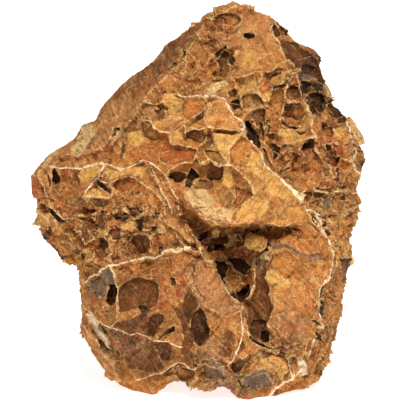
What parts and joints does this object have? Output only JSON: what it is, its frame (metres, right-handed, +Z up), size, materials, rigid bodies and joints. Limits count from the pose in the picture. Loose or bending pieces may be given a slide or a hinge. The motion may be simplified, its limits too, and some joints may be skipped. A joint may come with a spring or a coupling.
{
  "type": "leaf-textured ornamental stone",
  "caption": "Rough upright orange-brown stone with leafy broken scales, open cells, thin cream veins and a deep cavity, for an aquarium or a shelf.",
  "frame": {"origin": "middle of the stone's box, on the surface that it stands on", "axes": "+Z up, -Y towards the viewer of the stone's front, +X to that viewer's right"},
  "size_m": [0.168, 0.1264, 0.1861],
  "materials": {
    "stone": "rough, matt, iron-stained orange brown with cream veins"
  },
  "bodies": {
    "root": {"stone": "stone"}
  },
  "joints": []
}
